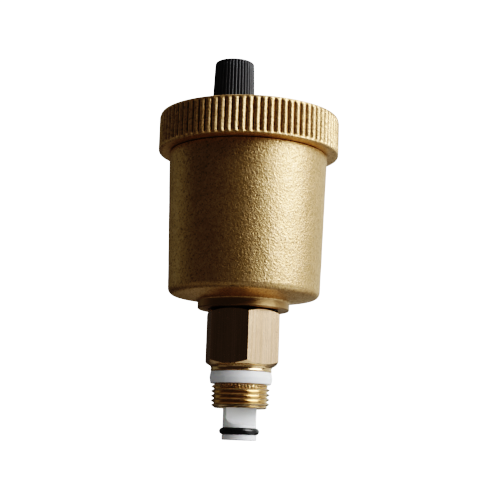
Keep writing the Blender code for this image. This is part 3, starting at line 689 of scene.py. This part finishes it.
def make_check_valve_body():
    """Hexagon with chamfered ends, hollow-ground neck, ring groove and notched pipe thread."""
    low, high = span("check_valve_body")
    angles = hexagon_angles()
    hexagon = hexagon_radius(angles)
    end_r = HEX_FLATS / 2 - HEX_END_INSET
    slope = math.tan(math.radians(HEX_CHAMFER))
    drop = (hexagon - end_r) * slope
    socket_r = SOCKET_THREAD[2]
    socket_bottom = SOCKET_FLOOR + SOCKET_LEAD
    top = high.z + UNION_LIFT
    upper = [
        (socket_r + SOCKET_CHAMFER, top),
        (end_r - END_BEVEL, top), (end_r + END_BEVEL, top - END_BEVEL / 2),
        (hexagon - FLAT_BEVEL, top - drop + FLAT_BEVEL * slope),
        (hexagon, top - drop - FLAT_BEVEL),
        (hexagon, HEX_BOTTOM + drop + FLAT_BEVEL),
        (hexagon - FLAT_BEVEL, HEX_BOTTOM + drop - FLAT_BEVEL * slope),
        (end_r + END_BEVEL, HEX_BOTTOM + END_BEVEL / 2)]
    neck = rounded([
        (end_r, HEX_BOTTOM), (NECK_R - NECK_HOLLOW, HEX_BOTTOM - NECK_HOLLOW, NECK_FILLET),
        (NECK_R - NECK_EDGE[0], NECK_BOTTOM + NECK_EDGE[1], NECK_EDGE[2]),
        (NECK_R - NECK_END_INSET, NECK_BOTTOM), (GROOVE_R, NECK_BOTTOM), (GROOVE_R, THREAD_TOP)])
    lower = [
        (GROOVE_R, low.z), (SEAT_R, low.z), (WATERWAY_R, low.z + SEAT_R - WATERWAY_R),
        (WATERWAY_R, CHAMBER_FLOOR), (CHAMBER_R, CHAMBER_FLOOR), (CHAMBER_R, SOCKET_FLOOR),
        (socket_r, SOCKET_FLOOR), (socket_r, socket_bottom)]

    def notch(radii, heights, columns):
        """Serrations across the thread's first crest."""
        comb = np.cos(columns * THREAD_NOTCHES)[None, :]
        start, end = (THREAD_TOP - below for below in NOTCH_BAND)
        near_top = (smoothstep((heights - start) / NOTCH_FADE[0])
                    * smoothstep((end - heights) / NOTCH_FADE[1]))
        over_root = np.clip(radii - GROOVE_R - NOTCH_FLOOR, 0, NOTCH_DEPTH)
        return over_root * near_top * smoothstep(0.5 + comb)

    thread = threaded(PIPE_THREAD, angles, low.z, THREAD_TOP, (GROOVE_R, GROOVE_R),
                      slope=PIPE_RUNOUT, notch=notch)
    socket = threaded(SOCKET_THREAD, angles, socket_bottom, top - SOCKET_CHAMFER,
                      (socket_r, socket_r))
    mouth = [(socket_r, top - SOCKET_CHAMFER)]
    body = solid("hexagon_body", turned(mouth + upper + neck, angles), thread,
                 turned(lower, angles), socket)
    dress(body, LOOKS["machined_brass"], "check_valve", "check_valve_body", sharp=28)
    # the flats get the copy darkened by painted shade
    body.data.materials.append(LOOKS["drawn_brass"])
    # the thread gets the copy lightened by painted light
    body.data.materials.append(LOOKS["thread_brass"])
    for face in body.data.polygons:
        radius = math.hypot(face.center.x, face.center.y) / MM
        if radius > end_r + 0.2 and abs(face.normal.z) < 0.1:
            face.material_index = 1
        elif radius > WATERWAY_R and face.center.z / MM < THREAD_TOP:
            face.material_index = 2


def make_seal_ring():
    """The soft ring above the thread, pressed between neck and thread so that it bulges."""
    low, high = span("thread_seal_ring")
    bottom, top = low.z - SEAL_DROP, NECK_BOTTOM - SEAL_GAP
    inner, outer = GROOVE_R + SEAL_GAP, high.x
    ring = filled(rounded([
        (inner, top), (outer - SEAL_INSET[0], top, SEAL_EDGE_RADIUS),
        (outer + SEAL_BULGE, (top + bottom) / 2, SEAL_BULGE_RADIUS),
        (outer - SEAL_INSET[1], bottom, SEAL_EDGE_RADIUS), (inner, bottom), (inner, top)],
        steps=7), 0.5)
    grid = roughened(turned(ring, even_angles(SEAL_COLUMNS)), ROUGH_DEPTH, SEAL_WAVE)
    dress(solid("seal_ring", grid), LOOKS["seal_plastic"], "check_valve", "thread_seal_ring")


def blade_column(angle, top):
    """The blade's outline at one angle, from its top over the sloping ledge to the stem's end."""
    turn = angle - math.radians(BLADE_ANGLE - 90)
    from_normal = (turn + math.pi / 2) % math.pi - math.pi / 2
    front = math.cos(turn) > 0
    across = STEM_R * math.sin(from_normal) * (1 if front else -1)
    ledge = LEDGE_LEFT + (LEDGE_RIGHT - LEDGE_LEFT) * (across + STEM_R) / (2 * STEM_R)
    into_corner = LEDGE_CORNER - STEM_R - (across if front else -across)
    if into_corner > 0:
        ledge += LEDGE_CORNER - math.sqrt(max(LEDGE_CORNER ** 2 - into_corner ** 2, 0))
    # the blade's upright edges are rounded where the flat meets the round
    step = STEM_R - BLADE_HALF / max(math.cos(from_normal), LEAST_COSINE)
    step = (math.sqrt(step ** 2 + BLADE_EDGE_SOFT) + step) / 2
    flat_r = STEM_R - step
    if step > LEAST_STEP:
        return rounded([
            (flat_r, top), (flat_r, ledge, min(LEDGE_FILLETS[0], step * 0.45)),
            (STEM_R, ledge - step * LEDGE_TILT, min(LEDGE_FILLETS[1], step * 0.3)),
            (STEM_R, STEM_END)])
    # as many points as with the two fillets, so that the columns match
    return [(flat_r, top)] + [(flat_r, ledge)] * 2 * (ARC_STEPS + 1) + [(STEM_R, STEM_END)]


def make_plunger():
    """Moulded plunger: slotted head, a flat blade with a sloping ledge, ring groove and disc."""
    low, high = span("check_plunger")
    ring_low, ring_high = span("plunger_o_ring")
    groove_r = ring_high.x - (ring_high.z - ring_low.z) - GAP
    angles = even_angles(PLUNGER_COLUMNS)
    head_r, head_bottom = high.x, high.z - HEAD_THICK
    columns = np.array([blade_column(angle, head_bottom) for angle in angles])
    blade = [(row[:, 0], row[:, 1]) for row in columns.transpose(1, 0, 2)]
    head = rounded([(0, high.z), (head_r, high.z, HEAD_FILLETS[0]),
                    (head_r, head_bottom, HEAD_FILLETS[1]), (STEM_R, head_bottom)], steps=3)
    foot = rounded([
        (groove_r, STEM_END), (groove_r, DISC_TOP), (DISC_R, DISC_TOP),
        (DISC_R, low.z, DISC_FILLET), (0, low.z)], steps=4)
    plunger = solid("plunger", turned(head + blade + foot, angles))
    half, reach = HEAD_SLOT / 2, head_r + OVERSHOOT
    for name, wide, long in (("slot_x", reach, half), ("slot_y", half, reach)):
        bar = block(name, (-wide, -long, high.z - HEAD_SLOT_DEEP),
                    (wide, long, high.z + OVERSHOOT))
        combined(plunger, "DIFFERENCE", bar)
    dress(plunger, LOOKS["white_plastic"], "plunger", "check_plunger", sharp=30)


def make_o_ring(name, node, body, lift=0.0):
    """A moulded ring of round section, with its faint flash line."""
    low, high = span(node)
    section = (high.z - low.z) / 2
    middle_r, middle_z = high.x - section, (high.z + low.z) / 2 + lift
    outline = []
    for turn in np.linspace(0, 2 * math.pi, 33):
        flash = FLASH * max(0.0, 1 - abs(math.sin(turn)) / 0.15)
        outline.append((middle_r + (section + flash * math.cos(turn)) * math.cos(turn),
                        middle_z + section * math.sin(turn)))
    ring = solid(name, turned(outline, even_angles(RING_COLUMNS)))
    dress(ring, LOOKS["black_rubber"], body, node, sharp=80)


# ---------------------------------------------------------------- bell

def make_bell():
    """Blasted bell with machined boss, threaded spigot and threaded neck."""
    low, high = span("bell_body")
    boss_bottom = span("check_valve_body")[1].z + UNION_LIFT + UNION_GAP
    recess_top = boss_bottom + RECESS_DEEP
    angles = even_angles(BELL_COLUMNS)
    rim, side_r = high.z, high.x
    neck_end = NECK_THREAD[2] - THREAD_RELIEF
    neck_bottom, neck_top = SHOULDER + SHOULDER_LEAD, rim - RIM_CHAMFER
    spigot_end = SPIGOT_THREAD[2] - THREAD_RELIEF
    spigot_top = recess_top - SPIGOT_UNDERCUT
    side_top = (side_r - SIDE_TAPER, SHOULDER - 1)
    side_bottom = (BELL_BOTTOM_R, CONE_END[1] + EDGE_RADIUS)
    shoulder = rounded([
        (neck_end, neck_bottom), (neck_end, SHOULDER, SHOULDER_FILLETS[0]),
        (side_r, SHOULDER, SHOULDER_FILLETS[1]), side_top])
    side = filled([side_top, side_bottom], 1.0)
    under = filled(rounded([
        side_bottom, (*CONE_END, EDGE_RADIUS), (*CONE_START, CONE_FILLET),
        (BOSS_R, boss_bottom + BOSS_CHAMFER), (BOSS_R - BOSS_CHAMFER, boss_bottom),
        (RECESS_R, boss_bottom), (RECESS_R, recess_top), (spigot_end, recess_top),
        (spigot_end, spigot_top)], steps=8), 1.0)
    inside = filled(rounded([
        (spigot_end, low.z), (SPIGOT_BORE_R, low.z), (SPIGOT_BORE_R, BELL_FLOOR, FLOOR_FILLETS[0]),
        (BORE_BOTTOM_R, BELL_FLOOR + FLOOR_RISE, FLOOR_FILLETS[1]), (BORE_TOP_R, rim),
        (neck_end - RIM_CHAMFER, rim), (neck_end, neck_top)], steps=8), 2.5)
    neck = threaded(NECK_THREAD, angles, neck_bottom, neck_top, (neck_end, neck_end))
    spigot = threaded(SPIGOT_THREAD, angles, low.z, spigot_top, (spigot_end, spigot_end))
    skin = roughened(turned(shoulder + side[1:] + under[1:], angles), ROUGH_DEPTH, CAST_WAVE,
                     boss_bottom + CAST_BAND[0], SHOULDER - CAST_BAND[1])
    bell = solid("bell", neck, skin, spigot, turned(inside, angles))
    dress(bell, LOOKS["cast_brass"], "vent", "bell_body", sharp=28)
    bell.data.materials.append(LOOKS["machined_brass"])
    # the boss gets the copy of turned brass with painted shade
    bell.data.materials.append(LOOKS["boss_brass"])
    for face in bell.data.polygons:
        radius = math.hypot(face.center.x, face.center.y) / MM
        height = face.center.z / MM
        if height > SHOULDER - 0.2 and radius > BORE_TOP_R:
            face.material_index = 1
        elif height < CONE_START[1] - 0.3:
            face.material_index = 2 if radius > RECESS_R else 1


# ---------------------------------------------------------------- lid and cap

def ridge_shape(angles, height):
    """Height of the lid's ridges from 0 in the valleys to 1, their edges a little wavy."""
    waver = np.array([noise.noise(Vector((LID_RIDGES * angle / 3, height * 0.9, 2.0)))
                      for angle in angles])
    return np.abs(np.sin((angles * LID_RIDGES + RIDGE_WAVER * waver) / 2)) ** RIDGE_SHARPNESS


def lid_bore(foot):
    """What is cut out of the lid: a chamfered mouth, the thread and the roof."""
    angles = even_angles(BELL_COLUMNS)
    thread_bottom, thread_top = foot + BORE_LEAD, LID_UNDERSIDE - ROOF_LEAD
    outside = foot - OVERSHOOT
    mouth = [(0, outside), (LID_BORE_R + MOUTH_CHAMFER, outside), (LID_BORE_R, thread_bottom)]
    roof = rounded([(LID_BORE_R, thread_top), (LID_BORE_R, LID_UNDERSIDE, 0.3),
                    (0, LID_UNDERSIDE)])
    thread = threaded(LID_THREAD, angles, thread_bottom, thread_top, (LID_BORE_R, LID_BORE_R))
    return solid("bore", turned(mouth, angles), thread, turned(roof, angles))


def nozzle_and_seat(top):
    """The threaded nozzle on the lid, and the valve seat below it."""
    angles, centre = even_angles(NOZZLE_COLUMNS), (cap_axis(), 0)
    end_r = NOZZLE_THREAD[2] - THREAD_RELIEF
    root_r = NOZZLE_R + NOZZLE_ROOT
    thread_bottom, thread_top = LID_TOP + 0.35, top - NOZZLE_CHAMFER
    below = [(0, LID_TOP - OVERSHOOT), (root_r, LID_TOP - OVERSHOOT), (root_r, LID_TOP + 0.05),
             (end_r, thread_bottom)]
    above = [(end_r, thread_top), (end_r - NOZZLE_CHAMFER, top), (0, top)]
    thread = threaded(NOZZLE_THREAD, angles, thread_bottom, thread_top, (end_r, end_r), centre)
    nozzle = solid("nozzle", turned(below, angles, centre), thread,
                   turned(above, angles, centre))
    inside = LID_UNDERSIDE + OVERSHOOT
    seat = solid("seat", turned([
        (0, VALVE_SEAT_Z), (VALVE_SEAT_R - VALVE_SEAT_CHAMFER, VALVE_SEAT_Z),
        (VALVE_SEAT_R, VALVE_SEAT_Z + VALVE_SEAT_CHAMFER), (VALVE_SEAT_R, inside), (0, inside)],
        angles, centre))
    return nozzle, seat


def airway(top):
    """The bore down the nozzle, narrowing to the orifice in the seat."""
    outside, inside = top + OVERSHOOT, VALVE_SEAT_Z - OVERSHOOT
    return solid("airway", turned([
        (0, outside), (NOZZLE_BORE_R + MOUTH_CHAMFER, outside), (NOZZLE_BORE_R, top - 0.2),
        (NOZZLE_BORE_R, LID_TOP - AIRWAY_CONE[0]), (ORIFICE_R, LID_TOP - AIRWAY_CONE[1]),
        (ORIFICE_R, inside), (0, inside)], even_angles(NOZZLE_COLUMNS), (cap_axis(), 0)))


def screw_holes():
    """The two blind holes for the bracket's screws."""
    outside, end = LID_UNDERSIDE - OVERSHOOT, LID_TOP - SCREW_HOLE_ROOF
    outline = [(0, outside), (SCREW_HOLE_R, outside), (SCREW_HOLE_R, end), (0, end)]
    return [solid(f"screw_hole_{side}", turned(outline, even_angles(HOLE_COLUMNS),
                                               (SCREW_X, side * SCREW_Y)))
            for side in (-1, 1)]


def make_lid():
    """Ridged lid with its offset nozzle, valve seat and screw holes."""
    low, high = span("lid")
    foot = low.z + FOOT_LIFT
    rim_r = high.x
    collar_r = rim_r - COLLAR_INSET
    angles = even_angles(LID_RIDGES * RIDGE_COLUMNS)
    rows = [(0, LID_TOP)] + [(rim_r - inward, LID_TOP - down) for inward, down in TOP_EDGE]
    for height in np.linspace(RIDGE_TOP, RIDGE_BOTTOM - 0.1, RIDGE_ROWS):
        ridge = ridge_shape(angles, height)
        into_top = smoothstep((RIDGE_TOP + RIDGE_STARTS[0] - height) / RIDGE_RISES[0])
        into_bottom = smoothstep((height - RIDGE_BOTTOM + RIDGE_STARTS[1]) / RIDGE_RISES[1])
        depth = RIDGE_DEPTH * np.minimum(into_top, into_bottom)
        crest = rim_r - CREST_DROPS[0] * (1 - into_top) - CREST_DROPS[1] * (1 - into_bottom)
        rows.append((crest - depth * (1 - ridge), height))
    edge = [(collar_r - inward, foot + up, fillet) for inward, up, fillet in COLLAR_EDGE]
    rows += rounded([(collar_r, RIDGE_BOTTOM - COLLAR_DROP), *edge, (0, foot)])
    lid = solid("ridged_lid", turned(rows, angles))

    combined(lid, "DIFFERENCE", lid_bore(foot))
    combined(lid, "UNION", *nozzle_and_seat(high.z))
    combined(lid, "DIFFERENCE", airway(high.z), *screw_holes())
    dress(lid, LOOKS["cast_brass"], "lid", "lid", sharp=34)
    # the ridges take the brass with painted valley shade
    lid.data.materials.append(LOOKS["ridged_brass"])
    for face in lid.data.polygons:
        radius = math.hypot(face.center.x, face.center.y) / MM
        if radius > LID_BORE_R + 1.5 and RIDGE_BOTTOM < face.center.z / MM < LID_TOP - 0.2:
            face.material_index = 1


def cap_axis():
    """Where the cap, its seal and the nozzle stand along X."""
    low, high = span("vent_cap")
    return (low.x + high.x) / 2


def make_cap():
    """Black cap with fine ribs, a soft top edge and its own thread inside."""
    low, high = span("vent_cap")
    bottom_r = (high.x - low.x) / 2
    top = high.z + CAP_RISE
    angles = even_angles(CAP_RIBS * RIB_COLUMNS)
    centre = (cap_axis(), 0)

    valley = RIB_DEPTH * (1 - np.abs(np.sin(angles * CAP_RIBS / 2)) ** RIB_SHARPNESS)

    def ribbed(height, fade):
        share = (height - low.z) / (top - low.z)
        radius = bottom_r + (CAP_TOP_R - bottom_r) * share
        return (radius - RIB_INSET - valley * fade, height)

    dish, rim, edge = (CAP_TOP_R - inward for inward in CAP_DISH_EDGE)
    rows = [(0, top - CAP_DISH), (dish, top - CAP_DISH), (rim, top)]
    corner = rounded([(edge, top), (CAP_TOP_R - RIB_INSET, top, CAP_EDGE_RADIUS),
                      (CAP_TOP_R, top - CAP_EDGE_DOWN)], steps=7)
    for radius, height in corner:
        fade = float(smoothstep((top - height - 0.1) / 0.6))
        rows.append((radius - (RIB_INSET + valley) * fade, height))
    for height in np.linspace(top - RIB_ENDS[0], low.z + RIB_ENDS[1], RIB_ROWS):
        rows.append(ribbed(height, 1.0))
    rows.append(ribbed(low.z + 0.1, 0.3))
    minor = CAP_THREAD[2]
    thread_bottom, thread_top = low.z + CAP_LEAD_IN, CAP_CEILING - CAP_LEAD_OUT
    rows += [(bottom_r - 0.3, low.z), (minor + CAP_LEAD_IN, low.z), (minor, thread_bottom)]
    inner = [(minor, thread_top), (minor, CAP_CEILING), (0, CAP_CEILING)]
    thread = threaded(CAP_THREAD, angles, thread_bottom, thread_top, (minor, minor), centre)
    cap = solid("ribbed_cap", turned(rows, angles, centre), thread, turned(inner, angles, centre))
    dress(cap, LOOKS["black_plastic"], "cap", "vent_cap", sharp=40)


def make_cap_seal():
    """Rubber disc in the cap, with a shallow hollow over the nozzle's bore."""
    low, high = span("cap_seal")
    radius = (high.x - low.x) / 2
    hollow = low.z + PAD_HOLLOW
    outline = rounded([(0, high.z), (radius, high.z, PAD_FILLET), (radius, low.z, PAD_FILLET),
                       (PAD_HOLLOW_R[0], low.z), (PAD_HOLLOW_R[1], hollow), (0, hollow)])
    seal = solid("cap_seal_disc", turned(outline, even_angles(PAD_COLUMNS), (cap_axis(), 0)))
    dress(seal, LOOKS["black_rubber"], "cap_seal", "cap_seal")


# ---------------------------------------------------------------- springs and inner parts

def make_spring(name, node, size):
    """A compression spring with closed ends, filling its CAD node's box."""
    wire, turns, ends = size
    low, high = span(node)
    centre = ((low.x + high.x) / 2, 0)
    coil_r = (high.x - low.x) / 2 - wire
    bottom, top = low.z + wire, high.z - wire
    share = np.linspace(0, 1, round(turns * STEPS_PER_TURN) + 1)
    closed = ends / turns
    lift = CLOSED_PITCH * closed
    open_part = np.clip((share - closed) / (1 - 2 * closed), 0, 1)
    rise = lift + open_part * (1 - 2 * lift)
    rise = np.where(share > 1 - closed, 1 - (1 - share) * CLOSED_PITCH, rise)
    rise = np.where(share < closed, share * CLOSED_PITCH, rise)
    turn = 2 * math.pi * turns * share
    path = np.stack([centre[0] + coil_r * np.cos(turn), coil_r * np.sin(turn),
                     bottom + (top - bottom) * rise], axis=1)
    forward = np.gradient(path, axis=0)
    forward /= np.linalg.norm(forward, axis=1)[:, None]
    outward = np.stack([np.cos(turn), np.sin(turn), np.zeros_like(turn)], axis=1)
    upward = np.cross(forward, outward)
    upward /= np.linalg.norm(upward, axis=1)[:, None]
    section = even_angles(WIRE_SIDES)
    rings = (path[:, None, :] + wire * (np.cos(section)[None, :, None] * outward[:, None, :]
                                       + np.sin(section)[None, :, None] * upward[:, None, :]))
    rings = np.concatenate([np.repeat(path[:1, None, :], WIRE_SIDES, axis=1), rings,
                            np.repeat(path[-1:, None, :], WIRE_SIDES, axis=1)])
    spring = solid(name, (rings, 0))
    dress(spring, LOOKS["spring_steel"], None, node, sharp=60)
    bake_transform(spring)


def paint_inner_parts():
    """The CAD nodes that stay as they are get their finished materials."""
    for node in ("lever_bracket", "bracket_screw_1", "bracket_screw_2", "lever_pin", "float_lever",
                 "valve_stem", "valve_pad", "float_shell", "float_cover", "float_post"):
        for slot in frame["nodes"][node].material_slots:
            slot.material = LOOKS[SLOTS[node]]


# ---------------------------------------------------------------- stage

def make_floor():
    """A plain pale floor, well below the hanging vent."""
    mesh = bpy.data.meshes.new("floor")
    sheet = bmesh.new()
    bmesh.ops.create_grid(sheet, x_segments=1, y_segments=1, size=FLOOR_HALF)
    bmesh.ops.translate(sheet, vec=(0, 0, FLOOR_LEVEL), verts=sheet.verts)
    sheet.to_mesh(mesh)
    sheet.free()
    floor = bpy.data.objects.new("floor", mesh)
    bpy.context.scene.collection.objects.link(floor)
    floor.visible_glossy = False
    floor.visible_diffuse = False
    floor.visible_shadow = False
    look = Look("floor_paper")
    fibres = look.noise(3.0, detail=3)
    color = look.blend(look.ranged(fibres, 0, 1), PAPER_DARK, PAPER_LIGHT)
    paper = look.finish(color, look.ranged(fibres, 0.6, 0.7))
    look.shader.inputs["Emission Color"].default_value = (*WHITE, 1)
    look.shader.inputs["Emission Strength"].default_value = BACKDROP_LEVEL
    floor.data.materials.append(paper)


def make_world():
    """White where the camera looks, and a dim studio for everything else."""
    world = bpy.data.worlds.new("studio")
    bpy.context.scene.world = world
    world.use_nodes = True
    tree = world.node_tree
    room = tree.nodes["Background"]
    room.inputs["Color"].default_value = (*ROOM_COLOR, 1)
    room.inputs["Strength"].default_value = ROOM_LEVEL
    backdrop = tree.nodes.new("ShaderNodeBackground")
    backdrop.inputs["Color"].default_value = (*WHITE, 1)
    backdrop.inputs["Strength"].default_value = BACKDROP_LEVEL
    rays = tree.nodes.new("ShaderNodeLightPath")
    mix = tree.nodes.new("ShaderNodeMixShader")
    tree.links.new(rays.outputs["Is Camera Ray"], mix.inputs["Fac"])
    tree.links.new(room.outputs["Background"], mix.inputs[1])
    tree.links.new(backdrop.outputs["Background"], mix.inputs[2])
    tree.links.new(mix.outputs["Shader"], tree.nodes["World Output"].inputs["Surface"])


def make_softbox(name, azimuth, elevation, size, radiance, glossy, tint):
    """A lit panel facing the vent. Azimuth counts from -Y towards +X, in degrees."""
    light = bpy.data.lights.new(name, "AREA")
    light.shape = "RECTANGLE"
    light.size, light.size_y = size
    light.energy = radiance * math.pi * size[0] * size[1]
    light.color = tint
    panel = bpy.data.objects.new(name, light)
    bpy.context.scene.collection.objects.link(panel)
    turn, rise = math.radians(azimuth), math.radians(elevation)
    away = Vector((math.sin(turn) * math.cos(rise), -math.cos(turn) * math.cos(rise),
                   math.sin(rise)))
    middle = (cad_box[0] + cad_box[1]) / 2
    panel.location = middle + away * PANEL_DISTANCE
    panel.rotation_euler = away.to_track_quat("Z", "Y").to_euler()
    panel.visible_camera = False
    panel.visible_glossy = glossy


def make_camera():
    """The photograph's view: from the front, a little below, looking up."""
    data = bpy.data.cameras.new("camera")
    data.lens = LENS
    data.clip_start = 0.01
    camera = bpy.data.objects.new("camera", data)
    bpy.context.scene.collection.objects.link(camera)
    pan, tilt, roll = (math.radians(angle) for angle in CAMERA_TURN)
    place = Matrix.Translation(CAMERA_PLACE)
    camera.matrix_world = (place @ Matrix.Rotation(pan, 4, "Z") @ Matrix.Rotation(tilt, 4, "X")
                           @ Matrix.Rotation(roll, 4, "Z"))
    bpy.context.scene.camera = camera


def set_tones():
    """A photographic tone curve: deep blacks, and whites that roll off gently."""
    view = bpy.context.scene.view_settings
    view.view_transform = "Standard"
    view.use_curve_mapping = True
    mapping = view.curve_mapping
    mapping.white_level = (WHITE_LEVEL, WHITE_LEVEL, WHITE_LEVEL)
    curve = mapping.curves[3]
    for seen, shown in TONES[1:-1]:
        curve.points.new(seen / WHITE_LEVEL, shown)
    curve.points[0].location = TONES[0]
    mapping.update()


# ---------------------------------------------------------------- build

make_check_valve_body()
make_seal_ring()
make_plunger()
make_o_ring("plunger_ring", "plunger_o_ring", "plunger")
make_o_ring("union_ring", "union_o_ring", "union_seal", lift=UNION_LIFT + UNION_GAP - GAP)
make_o_ring("lid_ring", "lid_o_ring", "lid_seal")
make_bell()
make_lid()
make_cap()
make_cap_seal()
make_spring("valve_plunger_spring", "plunger_spring", PLUNGER_SPRING)
make_spring("stem_spring", "valve_spring", STEM_SPRING)
paint_inner_parts()
make_floor()
make_world()
for softbox, settings in SOFTBOXES.items():
    make_softbox(softbox, *settings)
make_camera()
set_tones()
